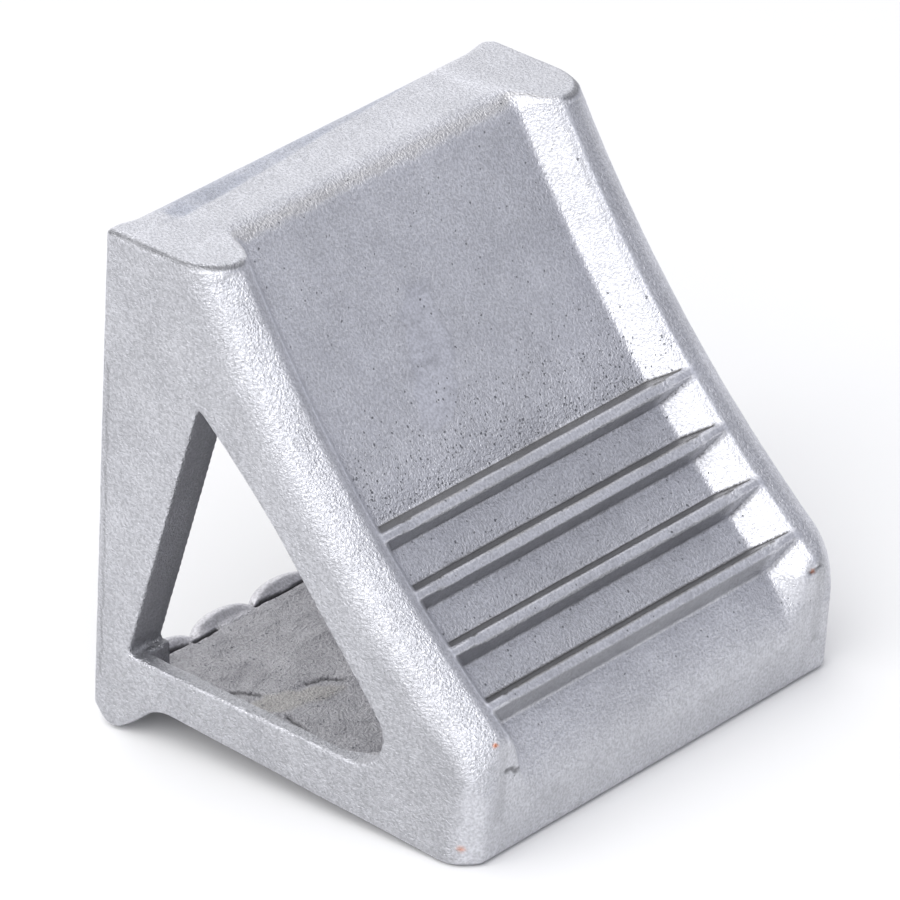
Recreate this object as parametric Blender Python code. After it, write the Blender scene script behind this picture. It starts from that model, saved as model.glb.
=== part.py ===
"""Cast-iron wheel chock, modelled as the named sections of its casting.

Metres, +Z up, +X towards the toe that goes under the tyre, Y across the width.
The chock stands as it does in use, on its row of rear teeth and the land under its toe,
so the base plate slopes down towards the toe. The origin is on the floor, at the middle
of the footprint. Stations along X are given from the back plane and shifted by STATION.
"""

import math

import bmesh
import bpy
from mathutils import Vector

MM = 0.001
GAP = 0.3 * MM                     # clearance between neighbouring sections

# Overall size.
LENGTH = 174.0 * MM
WIDTH = 203.0 * MM
HEIGHT = 193.0 * MM
STATION = -LENGTH / 2

# Rolling face: arcs about the axis of a one-metre tyre.
TYRE_X = 499.0 * MM
TYRE_Z = 428.0 * MM
TYRE_RADIUS = 500.0 * MM
TREAD_DEPTH = 12.5 * MM            # tread below the rail crests
WALL_DEPTH = 26.0 * MM             # underside of the rolling face below the rail crests
CREST_START = math.radians(28.2)   # angle below the tyre axis where the crests begin
NOSE_ARC = 179.0 * MM              # arc length from there to the toe

# Side rails.
SHOULDER = 15.0 * MM               # radius of the outer shoulder
CREST_INSET = 18.0 * MM            # side face to the inner edge of the crest
FLANK_INSET = 29.0 * MM            # side face to the foot of the inner flank
LEG_THICKNESS = 17.5 * MM
BASE_RAIL_THICKNESS = 8.0 * MM
LEG_SILL_X = 20.5 * MM             # foot of the leg's face towards the window
LEG_KNEE = (17.5 * MM, 34.0 * MM)

# Crown, the member across the top.
CROWN_BOTTOM = 165.0 * MM
CROWN_FRONT_Z = 190.5 * MM
CROWN_WALL = 17.0 * MM
CROWN_EDGE = 5.0 * MM              # radius along the back of the top
CROWN_EDGE_TURN = 177              # direction in which that edge leaves the back face, degrees

# Back face, leaning forwards.
BACK_LOW = (0.0 * MM, 6.0 * MM)
BACK_TOP_X = 9.8 * MM

# Rear claws, side view.
CLAW_TIP = (9.5 * MM, 0.0 * MM)
CLAW_HEEL = (4.5 * MM, 1.2 * MM)
CLAW_FRONT = (15.7 * MM, 3.2 * MM)
CLAW_ROOT = (29.0 * MM, 13.9 * MM)
TOOTH_COUNT = 6
TOOTH_PITCH = 31.4 * MM
TOOTH_VALLEY_X = 12.2 * MM
TOOTH_BULGE = 6.5 * MM
TOOTH_FRONT_X = 30.0 * MM
TOOTH_HEEL = (2.0 * MM, 3.0 * MM)  # back of the blank, trimmed to the bulge

# Base.
LAND_START_X = 159.0 * MM          # flat land under the toe that rests on the floor
LAND_END_X = 168.0 * MM
FLOOR_THICKNESS = 6.6 * MM
TOE_BACK_X = 136.0 * MM
RAIL_BACK_X = 30.0 * MM

# Toe.
NOSE_RADIUS = 14.0 * MM
TOE_FRONT_LOW = (170.5 * MM, 3.0 * MM)
TOE_FRONT_HIGH_X = 174.0 * MM
TOE_BRINK_DROP = 3.0 * MM          # small bevel where the crests meet the front face
TOE_BRINK_BACK = 2.0 * MM
NOSE_SETBACK = 1.7 * MM            # nose behind the foremost plane of the toe
NOSE_TURN = -5                     # direction in which the nose meets the front face, degrees

# Side window, side view.
WINDOW_APEX = (50.5 * MM, 137.8 * MM)
WINDOW_SILL_BACK = (16.2 * MM, 31.7 * MM)
WINDOW_SILL_FRONT = (118.5 * MM, 25.6 * MM)
WINDOW_KNEE_Z = 119.0 * MM         # where the sloping edge joins the arc of the rail
WINDOW_END = (118.5 * MM, 39.6 * MM)
WINDOW_END_RADIUS = 14.0 * MM
WINDOW_END_TURN = 38               # direction from its centre to the sloping edge, degrees
WINDOW_END_TOP_X = 123.5 * MM

# Tread ribs: a row of bars across the tread, by arc length from the top of the crests.
RIB_COUNT = 4
RIB_FIRST = 102.0 * MM
RIB_PITCH = 22.5 * MM
RIB_BASE = 9.0 * MM
RIB_UPHILL_RUN = 2.4 * MM
RIB_DOWNHILL_RUN = 2.4 * MM
RIB_TOP_DEPTH = 3.0 * MM
RIB_ROOT = 4.0 * MM                # blank below the tread, trimmed away

# Room that the cutters take beyond what they cut.
CUT_ABOVE = 18.0 * MM
CUT_BESIDE = 6.0 * MM
CUT_BEFORE = math.radians(6)
CUT_AFTER = math.radians(8)
CUT_DEEP = 20.0 * MM
POCKET_ROOM = 10.0 * MM
TOOTH_ROOM = 5.0 * MM

ARC_STEP = math.radians(1.6)
ROUND_STEPS = 6
SHARP_ANGLE = math.radians(28)

SILVER = (0.46, 0.47, 0.50, 1.0)
GREY = (0.33, 0.34, 0.36, 1.0)


# ---------------------------------------------------------------- geometry of the side view

def on_arc(angle, depth):
    """Side-view point at an angle below the tyre axis and a depth under the crest arc."""
    radius = TYRE_RADIUS + depth
    return (TYRE_X - radius * math.cos(angle), TYRE_Z - radius * math.sin(angle))


def arc_angle(length):
    """Angle of the point that lies this far along the crest arc from its top."""
    return CREST_START + length / TYRE_RADIUS


def angle_at_height(height, depth):
    return math.asin((TYRE_Z - height) / (TYRE_RADIUS + depth))


def angle_at_station(station, depth):
    return math.acos((TYRE_X - station) / (TYRE_RADIUS + depth))


def arc_points(start, end, depth):
    """Points along an arc about the tyre axis, both ends included."""
    steps = max(2, math.ceil(abs(end - start) / ARC_STEP))
    return [on_arc(start + (end - start) * i / steps, depth) for i in range(steps + 1)]


def round_points(centre, radius, start, end):
    """Points along a small arc, angles in degrees from +X towards +Z."""
    points = []
    for i in range(ROUND_STEPS + 1):
        angle = math.radians(start + (end - start) * i / ROUND_STEPS)
        points.append((centre[0] + radius * math.cos(angle), centre[1] + radius * math.sin(angle)))
    return points


def back_x(height):
    """Station of the back face at a height."""
    share = (height - BACK_LOW[1]) / (HEIGHT - BACK_LOW[1])
    return BACK_LOW[0] + share * (BACK_TOP_X - BACK_LOW[0])


def underside_z(station):
    """Height of the underside, which falls from the claws to the toe land."""
    share = (station - CLAW_ROOT[0]) / (LAND_START_X - CLAW_ROOT[0])
    return CLAW_ROOT[1] * (1 - share)


def floor_z(station):
    """Height of the top of the base plate."""
    return underside_z(station) + FLOOR_THICKNESS


def sill_z(station):
    """Height of the window's sill, the top of the base rails."""
    share = (station - WINDOW_SILL_BACK[0]) / (WINDOW_SILL_FRONT[0] - WINDOW_SILL_BACK[0])
    return WINDOW_SILL_BACK[1] + share * (WINDOW_SILL_FRONT[1] - WINDOW_SILL_BACK[1])


# ---------------------------------------------------------------- building blocks

def clear_scene():
    for item in list(bpy.data.objects):
        bpy.data.objects.remove(item, do_unlink=True)


def new_collection(name):
    collection = bpy.data.collections.new(name)
    bpy.context.scene.collection.children.link(collection)
    return collection


def material(name, colour, roughness):
    surface = bpy.data.materials.new(name)
    surface.use_nodes = True
    shader = surface.node_tree.nodes["Principled BSDF"]
    shader.inputs["Base Color"].default_value = colour
    shader.inputs["Metallic"].default_value = 0.9
    shader.inputs["Roughness"].default_value = roughness
    return surface


def curve_to_mesh(curve_object):
    """Replace a curve by a closed mesh object in the same place."""
    bpy.context.view_layer.update()
    depsgraph = bpy.context.evaluated_depsgraph_get()
    mesh = bpy.data.meshes.new_from_object(curve_object.evaluated_get(depsgraph))
    shell = bmesh.new()
    shell.from_mesh(mesh)
    bmesh.ops.remove_doubles(shell, verts=shell.verts, dist=0.00001)
    bmesh.ops.recalc_face_normals(shell, faces=shell.faces)
    shell.to_mesh(mesh)
    shell.free()
    name = curve_object.name
    place = curve_object.matrix_world.copy()
    collection = curve_object.users_collection[0]
    curve = curve_object.data
    bpy.data.objects.remove(curve_object, do_unlink=True)
    bpy.data.curves.remove(curve)
    solid = bpy.data.objects.new(name, mesh)
    solid.matrix_world = place
    collection.objects.link(solid)
    return solid


def extrude(name, outline, thickness, place, turn, collection):
    """Flat outline given a thickness about its own plane, then turned and put in its place."""
    curve = bpy.data.curves.new(name, "CURVE")
    curve.dimensions = "2D"
    curve.fill_mode = "BOTH"
    curve.extrude = thickness / 2
    spline = curve.splines.new("POLY")
    spline.points.add(len(outline) - 1)
    for point, (first, second) in zip(spline.points, outline):
        point.co = (first, second, 0.0, 1.0)
    spline.use_cyclic_u = True
    holder = bpy.data.objects.new(name, curve)
    holder.location = place
    holder.rotation_euler = turn
    collection.objects.link(holder)
    return curve_to_mesh(holder)


def prism(name, outline, low_y, high_y, collection):
    """Side-view outline (station, height) extruded across the chock from low_y to high_y."""
    place = (STATION, (low_y + high_y) / 2, 0.0)
    return extrude(name, outline, high_y - low_y, place, (math.radians(90), 0.0, 0.0), collection)


def plan_prism(name, outline, low_z, high_z, collection):
    """Plan outline (station, y) extruded upwards from low_z to high_z."""
    place = (STATION, 0.0, (low_z + high_z) / 2)
    return extrude(name, outline, high_z - low_z, place, (0.0, 0.0, 0.0), collection)


def sweep(name, section, start, end, collection):
    """Section of (y, depth) points swept about the tyre axis between two angles."""
    shell = bmesh.new()
    axis = Vector((STATION + TYRE_X, 0.0, TYRE_Z))
    ring = []
    for across, depth in section:
        station, height = on_arc(start, depth)
        ring.append(shell.verts.new((STATION + station, across, height)))
    face = shell.faces.new(ring)
    steps = max(2, math.ceil((end - start) / ARC_STEP))
    bmesh.ops.spin(shell, geom=[face] + list(shell.edges) + ring, cent=axis, axis=(0.0, -1.0, 0.0),
                   angle=end - start, steps=steps, use_duplicate=False)
    bmesh.ops.recalc_face_normals(shell, faces=shell.faces)
    mesh = bpy.data.meshes.new(name)
    shell.to_mesh(mesh)
    shell.free()
    solid = bpy.data.objects.new(name, mesh)
    collection.objects.link(solid)
    return solid


def hide_cutter(cutter):
    cutter.hide_render = True
    cutter.display_type = "WIRE"


def boolean(target, tool, operation):
    modifier = target.modifiers.new(operation.lower(), "BOOLEAN")
    modifier.operation = operation
    modifier.solver = "EXACT"
    modifier.object = tool


def finish(solid, surface):
    """Apply the cuts, shade the rounded faces smooth and give the section its material."""
    bpy.context.view_layer.update()
    depsgraph = bpy.context.evaluated_depsgraph_get()
    solid.data = bpy.data.meshes.new_from_object(solid.evaluated_get(depsgraph))
    solid.data.name = solid.name
    solid.modifiers.clear()
    solid.data.shade_smooth()
    solid.data.set_sharp_from_angle(angle=SHARP_ANGLE)
    solid.data.materials.clear()
    solid.data.materials.append(surface)
    return solid


# ---------------------------------------------------------------- cutters

def channel_section(clearance, top_depth):
    """The recess between the rails, shrunk by a clearance on its tread and flanks."""
    rise = TREAD_DEPTH
    run = FLANK_INSET - CREST_INSET
    slope = math.hypot(rise, run)
    side = clearance * slope / rise
    floor_depth = TREAD_DEPTH - clearance
    foot = WIDTH / 2 - FLANK_INSET - side + clearance * run / rise
    head = foot + (floor_depth - top_depth) * run / rise
    return [(-foot, floor_depth), (foot, floor_depth), (head, top_depth), (-head, top_depth)]


def channel_cutter(name, clearance, collection):
    start = CREST_START - CUT_BEFORE
    end = arc_angle(NOSE_ARC) + CUT_AFTER
    cutter = sweep(name, channel_section(clearance, -CUT_ABOVE), start, end, collection)
    hide_cutter(cutter)
    return cutter


def shoulder_cutter(name, side, collection):
    """The sharp corner outside the rounded shoulder of one rail."""
    edge = side * WIDTH / 2
    outside = side * CUT_BESIDE
    section = [(edge + outside, -CUT_ABOVE), (edge + outside, SHOULDER)]
    for i in range(ROUND_STEPS + 1):
        turn = math.radians(90) * i / ROUND_STEPS
        across = edge - side * SHOULDER * (1 - math.cos(turn))
        section.append((across, SHOULDER * (1 - math.sin(turn))))
    section.append((edge - side * SHOULDER, -CUT_ABOVE))
    start = CREST_START - CUT_BEFORE
    end = arc_angle(NOSE_ARC) + CUT_AFTER
    cutter = sweep(name, section, start, end, collection)
    hide_cutter(cutter)
    return cutter


# ---------------------------------------------------------------- sections of the casting

def build_crown(parts, cutters, surface, channel, shoulders):
    """Solid top member, with a pocket under it that opens at the back and below."""
    half = WIDTH / 2
    low = CROWN_BOTTOM + GAP / 2
    outline = [(back_x(low), low)]
    corner = (BACK_TOP_X + CROWN_EDGE, HEIGHT - CROWN_EDGE)
    outline += round_points(corner, CROWN_EDGE, CROWN_EDGE_TURN, 90)
    front = angle_at_height(CROWN_FRONT_Z, 0.0)
    outline += arc_points(front, angle_at_height(low, 0.0), 0.0)
    crown = prism("crown", outline, -half, half, parts)
    boolean(crown, channel, "DIFFERENCE")
    for shoulder in shoulders:
        boolean(crown, shoulder, "DIFFERENCE")
    ceiling = HEIGHT - CROWN_WALL
    inner = half - LEG_THICKNESS
    bottom = low - POCKET_ROOM
    pocket_outline = [(-POCKET_ROOM, ceiling), (-POCKET_ROOM, bottom)]
    pocket_outline.append(on_arc(angle_at_height(bottom, WALL_DEPTH), WALL_DEPTH))
    pocket_outline.append(on_arc(angle_at_height(ceiling, WALL_DEPTH), WALL_DEPTH))
    pocket = prism("crown_pocket", pocket_outline, -inner, inner, cutters)
    hide_cutter(pocket)
    boolean(crown, pocket, "DIFFERENCE")
    return finish(crown, surface)


def build_tread_plate(parts, surface):
    """Curved plate that the tyre rolls up, between the two slope rails."""
    half = WIDTH / 2 - FLANK_INSET - GAP / 2
    top = CROWN_BOTTOM - GAP / 2
    end = arc_angle(NOSE_ARC) - GAP / 2 / TYRE_RADIUS
    outline = arc_points(angle_at_height(top, TREAD_DEPTH), end, TREAD_DEPTH)
    outline += arc_points(end, angle_at_height(top, WALL_DEPTH), WALL_DEPTH)
    return finish(prism("tread_plate", outline, -half, half, parts), surface)


def build_slope_rail(name, side, parts, surface, channel, shoulder):
    """Raised rail beside the tread, with a rounded shoulder outside and a flank inside."""
    outer = side * WIDTH / 2
    inner = side * (WIDTH / 2 - FLANK_INSET + GAP / 2)
    top = CROWN_BOTTOM - GAP / 2
    end = arc_angle(NOSE_ARC) - GAP / 2 / TYRE_RADIUS
    outline = arc_points(angle_at_height(top, 0.0), end, 0.0)
    outline += arc_points(end, angle_at_height(top, WALL_DEPTH), WALL_DEPTH)
    rail = prism(name, outline, min(outer, inner), max(outer, inner), parts)
    boolean(rail, channel, "DIFFERENCE")
    boolean(rail, shoulder, "DIFFERENCE")
    return finish(rail, surface)


def build_rear_leg(name, side, parts, surface):
    """Upright at the back of one side, from the claw foot to the crown."""
    outer = side * WIDTH / 2
    inner = side * (WIDTH / 2 - LEG_THICKNESS)
    top = CROWN_BOTTOM - GAP / 2
    front = RAIL_BACK_X - GAP / 2
    depth = WALL_DEPTH + GAP
    outline = [(back_x(top), top), BACK_LOW, CLAW_HEEL, CLAW_TIP, CLAW_FRONT, CLAW_ROOT]
    outline += [(front, underside_z(front)), (front, sill_z(front)), (LEG_SILL_X, sill_z(LEG_SILL_X))]
    outline += [LEG_KNEE, WINDOW_APEX]
    knee = angle_at_height(WINDOW_KNEE_Z, depth)
    outline += arc_points(knee, angle_at_height(top, depth), depth)
    return finish(prism(name, outline, min(outer, inner), max(outer, inner), parts), surface)


def build_base_rail(name, side, parts, surface):
    """Low rail along one edge of the base, ending in the rounded end of the window."""
    outer = side * WIDTH / 2
    inner = side * (WIDTH / 2 - BASE_RAIL_THICKNESS)
    back = RAIL_BACK_X + GAP / 2
    front = TOE_BACK_X - GAP / 2
    depth = WALL_DEPTH + GAP
    outline = [(back, sill_z(back)), (back, underside_z(back)), (front, underside_z(front))]
    outline += [on_arc(angle_at_station(front, depth), depth)]
    outline += [on_arc(angle_at_station(WINDOW_END_TOP_X, depth), depth)]
    outline += round_points(WINDOW_END, WINDOW_END_RADIUS, WINDOW_END_TURN, -90)
    return finish(prism(name, outline, min(outer, inner), max(outer, inner), parts), surface)


def build_base_plate(parts, surface):
    """Floor between the base rails, from the teeth to the toe."""
    half = WIDTH / 2 - BASE_RAIL_THICKNESS - GAP
    back = TOOTH_FRONT_X + GAP
    front = TOE_BACK_X - GAP / 2
    outline = [(back, underside_z(back)), (front, underside_z(front))]
    outline += [(front, floor_z(front)), (back, floor_z(back))]
    return finish(prism("base_plate", outline, -half, half, parts), surface)


def nose_cutter(name, collection):
    """The sharp corner outside the round nose, where the tread turns down into the front face."""
    radius = NOSE_RADIUS
    front = TOE_FRONT_HIGH_X - NOSE_SETBACK
    turn = angle_at_station(front - radius, TREAD_DEPTH + radius)
    centre = on_arc(turn, TREAD_DEPTH + radius)
    outline = round_points(centre, radius, NOSE_TURN, math.degrees(turn))
    outline.append(on_arc(turn, TREAD_DEPTH - CUT_DEEP))
    outline.append((front + CUT_DEEP, outline[-1][1]))
    outline.append((front + CUT_DEEP, outline[0][1]))
    half = WIDTH / 2 - FLANK_INSET + 5 * GAP
    cutter = prism(name, outline, -half, half, collection)
    hide_cutter(cutter)
    return cutter


def build_toe(parts, cutters, surface, channel, shoulders):
    """Solid nose across the front, with the land that rests on the floor."""
    half = WIDTH / 2
    back = TOE_BACK_X + GAP / 2
    depth = WALL_DEPTH + GAP
    start = arc_angle(NOSE_ARC) + GAP / 2 / TYRE_RADIUS
    outline = [(back, underside_z(back)), (LAND_START_X, 0.0), (LAND_END_X, 0.0), TOE_FRONT_LOW]
    brink = on_arc(angle_at_station(TOE_FRONT_HIGH_X, 0.0), 0.0)
    outline += [(brink[0], brink[1] - TOE_BRINK_DROP)]
    outline += arc_points(angle_at_station(brink[0] - TOE_BRINK_BACK, 0.0), start, 0.0)
    outline += arc_points(start, angle_at_station(back, depth), depth)
    toe = prism("toe", outline, -half, half, parts)
    boolean(toe, channel, "DIFFERENCE")
    boolean(toe, nose_cutter("nose", cutters), "DIFFERENCE")
    for shoulder in shoulders:
        boolean(toe, shoulder, "DIFFERENCE")
    return finish(toe, surface)


def build_tread_rib(index, parts, surface, channel):
    """Bar across the tread, steeper on its uphill side; its ends run into the flanks."""
    foot = RIB_FIRST + index * RIB_PITCH
    end = foot + RIB_BASE
    widening = RIB_ROOT / (TREAD_DEPTH - RIB_TOP_DEPTH)
    corners = [(foot - RIB_UPHILL_RUN * widening, TREAD_DEPTH + RIB_ROOT)]
    corners.append((foot + RIB_UPHILL_RUN, RIB_TOP_DEPTH))
    corners.append((end - RIB_DOWNHILL_RUN, RIB_TOP_DEPTH))
    corners.append((end + RIB_DOWNHILL_RUN * widening, TREAD_DEPTH + RIB_ROOT))
    outline = [on_arc(arc_angle(length), depth) for length, depth in corners]
    half = WIDTH / 2 - CREST_INSET
    rib = prism(f"tread_rib_{index + 1}", outline, -half, half, parts)
    boolean(rib, channel, "INTERSECT")
    return finish(rib, surface)


def build_tooth(index, parts, cutters, surface):
    """Claw with a rounded back, part of the row that bites the ground."""
    inner = WIDTH / 2 - LEG_THICKNESS - GAP
    centre = (index - (TOOTH_COUNT - 1) / 2) * TOOTH_PITCH
    low = max(-inner, centre - TOOTH_PITCH / 2 + GAP / 2)
    high = min(inner, centre + TOOTH_PITCH / 2 - GAP / 2)
    front = TOOTH_FRONT_X
    outline = [(TOOTH_HEEL[0], floor_z(TOOTH_HEEL[0])), TOOTH_HEEL, CLAW_HEEL, CLAW_TIP, CLAW_FRONT]
    outline += [CLAW_ROOT, (front, underside_z(front)), (front, floor_z(front))]
    tooth = prism(f"rear_tooth_{index + 1}", outline, low, high, parts)
    plan = [(front + TOOTH_ROOM, high + MM), (front + TOOTH_ROOM, low - MM)]
    for i in range(2 * ROUND_STEPS + 1):
        across = -TOOTH_PITCH / 2 + TOOTH_PITCH * i / (2 * ROUND_STEPS)
        bulge = TOOTH_BULGE * math.sqrt(max(0.0, 1 - (2 * across / TOOTH_PITCH) ** 2))
        plan.append((TOOTH_VALLEY_X - bulge, centre + across))
    column = plan_prism(f"tooth_column_{index + 1}", plan, -TOOTH_ROOM, CROWN_BOTTOM, cutters)
    hide_cutter(column)
    boolean(tooth, column, "INTERSECT")
    return finish(tooth, surface)


def build():
    clear_scene()
    parts = new_collection("wheel_chock")
    cutters = new_collection("cutters")
    channel = channel_cutter("channel", 0.0, cutters)
    channel_fill = channel_cutter("channel_fill", GAP, cutters)
    sides = {"left": 1, "right": -1}
    shoulders = {name: shoulder_cutter(f"{name}_shoulder", side, cutters) for name, side in sides.items()}
    both = list(shoulders.values())

    build_crown(parts, cutters, material("crown_iron", SILVER, 0.40), channel, both)
    build_tread_plate(parts, material("tread_iron", SILVER, 0.45))
    build_toe(parts, cutters, material("toe_iron", SILVER, 0.42), channel, both)
    build_base_plate(parts, material("base_iron", GREY, 0.60))
    rib_iron = material("rib_iron", SILVER, 0.40)
    for index in range(RIB_COUNT):
        build_tread_rib(index, parts, rib_iron, channel_fill)
    tooth_iron = material("tooth_iron", GREY, 0.50)
    for index in range(TOOTH_COUNT):
        build_tooth(index, parts, cutters, tooth_iron)
    rail_iron = material("rail_iron", SILVER, 0.35)
    leg_iron = material("leg_iron", SILVER, 0.45)
    for name, side in sides.items():
        build_slope_rail(f"{name}_slope_rail", side, parts, rail_iron, channel, shoulders[name])
        build_rear_leg(f"{name}_rear_leg", side, parts, leg_iron)
        build_base_rail(f"{name}_base_rail", side, parts, leg_iron)


build()
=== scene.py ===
"""Looks of the cast wheel chock: one continuous cast skin, cut into the sections of the CAD frame.

The skin is the zero level of a distance function in the side-view terms of the design, read by
surface nets on a fine grid. Each grid sample also belongs to a named section, so every section
comes out as its own closed mesh and the sections meet face to face.
Lengths inside the distance function are in millimetres, as stations from the back plane.
"""

import math

import bpy
import numpy as np
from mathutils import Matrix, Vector


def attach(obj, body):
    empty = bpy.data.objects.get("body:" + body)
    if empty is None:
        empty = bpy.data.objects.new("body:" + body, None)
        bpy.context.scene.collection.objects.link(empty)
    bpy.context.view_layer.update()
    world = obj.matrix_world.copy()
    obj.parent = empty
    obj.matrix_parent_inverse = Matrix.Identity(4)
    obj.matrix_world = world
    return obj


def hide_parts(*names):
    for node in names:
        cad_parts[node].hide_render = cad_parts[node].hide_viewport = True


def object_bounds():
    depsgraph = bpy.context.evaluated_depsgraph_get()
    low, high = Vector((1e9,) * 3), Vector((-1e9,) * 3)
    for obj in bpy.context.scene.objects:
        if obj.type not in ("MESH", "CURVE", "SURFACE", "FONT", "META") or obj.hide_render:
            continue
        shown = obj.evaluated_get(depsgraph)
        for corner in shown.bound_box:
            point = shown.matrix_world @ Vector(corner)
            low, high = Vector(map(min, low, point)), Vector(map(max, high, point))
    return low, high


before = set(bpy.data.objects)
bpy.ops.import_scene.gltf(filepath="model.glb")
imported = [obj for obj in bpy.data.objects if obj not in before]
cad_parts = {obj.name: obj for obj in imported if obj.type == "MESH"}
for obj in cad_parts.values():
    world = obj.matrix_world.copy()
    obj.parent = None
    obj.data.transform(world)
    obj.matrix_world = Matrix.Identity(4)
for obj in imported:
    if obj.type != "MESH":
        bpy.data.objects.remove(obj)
CAD_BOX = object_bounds()

MM = 0.001
CELL = 1.0       # grid step of the skin
SLAB = 12                               # grid stations worked out at a time

# The design's driving sizes, in millimetres.
LENGTH = (CAD_BOX[1].x - CAD_BOX[0].x) / MM
WIDTH = (CAD_BOX[1].y - CAD_BOX[0].y) / MM
HEIGHT = (CAD_BOX[1].z - CAD_BOX[0].z) / MM
HALF = WIDTH / 2
TYRE = (499.0, 428.0)                   # tyre axis, side view
TYRE_RADIUS = 500.0
TREAD_DEPTH = 12.5
WALL_DEPTH = 26.0
CREST_START = math.radians(28.2)
TOE_ARC = 179.0
SHOULDER = 15.0
CREST_INSET = 18.0
FLANK_INSET = 29.0
LEG = 17.5
CROWN_LOW = 165.0
POCKET_TOP = HEIGHT - 17.0
FLOOR = 6.6                             # thickness of the base plate
RIBS = 4
RIB_FIRST = 102.0
RIB_PITCH = 22.5
RIB_BASE = 9.0
RIB_UPHILL = 2.4
RIB_DOWNHILL = 2.4
RIB_TOP = 3.0
TEETH = 6
TOOTH_PITCH = 31.4
TOOTH_VALLEY = 12.2
TOOTH_BULGE = 6.5
RAIL_BACK = 30.0
BASE_RAIL = 8.0
HOLLOW_FRONT = 136.0
BASE_LIMIT = 60.0                       # height that nothing of the base reaches
RIB_ROOT = 20.0                         # depth at which the bars end inside the tread plate
RIB_END = 86.0                          # half width of a bar, up to inside the rails
RIB_END_RISE = 2.2                      # rise of a bar's top towards the rails
RIB_MARGIN = 1.5                        # tread around a bar that belongs to its section
CRACK_X = 15.4                          # crack between the teeth and the floor
CRACK_HALF = 0.6
CRACK_DEPTH = 2.5
PAN_HALF = 91.5                         # half width of the floor between the base rails
PAN_LEAN = 0.36                         # run of the pan's sides for each unit of rise
PAN_COSINE = 0.94                       # cosine of that lean
PAN_TAPER = 12.0                        # narrowing of the pan on each side, over this run
PAN_TAPER_RUN = (110.0, 132.0)
PAN_BACK = 21.0
PAN_TOP = 33.0

# Straight runs of the side view, each from one station and height to another.
BACK_LINE = ((9.8, 193.0), (0.0, 6.0))
TOP_LINE = ((59.0, 190.5), (14.8, 193.0))
FRONT_LINE = ((170.5, 3.0), (174.0, 45.0))
BASE_LINE = ((29.0, 13.9), (159.0, 0.0))
CLAW_POINTS = ((0.0, 6.0), (4.5, 1.2), (9.5, 0.0), (15.7, 3.2), (29.0, 13.9))
CLAW_RADII = (2.0, 2.0, 1.0)            # corners of the claw at the points between its ends
SILL_LINE = ((16.2, 31.7), (118.5, 25.6))
SLOPE_LINE = ((73.4, 119.0), (50.5, 137.8))
WINDOW_BACK_LINE = ((50.5, 137.8), (17.5, 34.0))
WINDOW_END = (118.5, 39.6)              # centre of the window's round front end
WINDOW_END_RADIUS = 14.0
WINDOW_END_TURN = math.radians(33)


# ---------------------------------------------------------------- distance helpers

def both(a, b, radius):
    """Intersection of two solids with the shared edge rounded."""
    corner = np.hypot(np.maximum(a + radius, 0.0), np.maximum(b + radius, 0.0))
    return np.minimum(np.maximum(a, b), -radius) + corner


def either(a, b, radius):
    """Union of two solids with a fillet."""
    return -both(-a, -b, radius)


def line(x, z, start, end):
    """Distance from a side-view line, positive to the right of its direction."""
    run, rise = end[0] - start[0], end[1] - start[1]
    size = math.hypot(run, rise)
    return ((x - start[0]) * rise - (z - start[1]) * run) / size


def fade(value, low, high):
    """Smooth step from 0 at low to 1 at high."""
    share = np.clip((value - low) / (high - low), 0.0, 1.0)
    return share * share * (3.0 - 2.0 * share)


def polar(x, z):
    """Arc length from the top of the crests, and depth under the crest arc."""
    angle = np.arctan2(TYRE[1] - z, TYRE[0] - x)
    return (angle - CREST_START) * TYRE_RADIUS, np.hypot(x - TYRE[0], z - TYRE[1]) - TYRE_RADIUS


def flank(across, depth):
    """Distance into the inner flank of a rail, negative in the open recess."""
    rise, run = TREAD_DEPTH, FLANK_INSET - CREST_INSET
    return ((across - HALF + FLANK_INSET) * rise + (depth - TREAD_DEPTH) * run) / math.hypot(rise, run)


def underside(x):
    """Height of the underside, which slopes down to the ground near the toe."""
    (back, height), (front, _) = BASE_LINE
    return height * (front - x) / (front - back)


def floor_top(x):
    """Height of the base plate's upper face."""
    return underside(x) + FLOOR


def lobe(y):
    """Bulge of the row of teeth, from 0 in the valleys to 1 at the middle of a tooth."""
    across = np.mod(y + TEETH * TOOTH_PITCH / 2, TOOTH_PITCH) / TOOTH_PITCH * 2 - 1
    return np.sqrt(np.maximum(1 - across * across, 0.0))


def crack_x(y):
    """Station of the wandering crack between the teeth and the floor."""
    return CRACK_X + 0.6 * np.sin(y / 9.0 + 1.0) + 0.4 * np.sin(y / 3.7)


# ---------------------------------------------------------------- the cast solid

def rib_distance(index, arc, depth, across):
    """One bar across the tread, steeper on its uphill side."""
    foot = RIB_FIRST + index * RIB_PITCH
    rise = TREAD_DEPTH - RIB_TOP
    up = (-(arc - foot) * rise - (depth - TREAD_DEPTH) * RIB_UPHILL) / math.hypot(rise, RIB_UPHILL)
    down = (arc - foot - RIB_BASE) * rise - (depth - TREAD_DEPTH) * RIB_DOWNHILL
    down = down / math.hypot(rise, RIB_DOWNHILL)
    top = RIB_TOP - RIB_END_RISE * fade(across, 64.0, 78.0)
    bar = both(both(up, top - depth, 0.5), down, 0.6)
    return np.maximum(np.maximum(bar, depth - RIB_ROOT), across - RIB_END)


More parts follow.
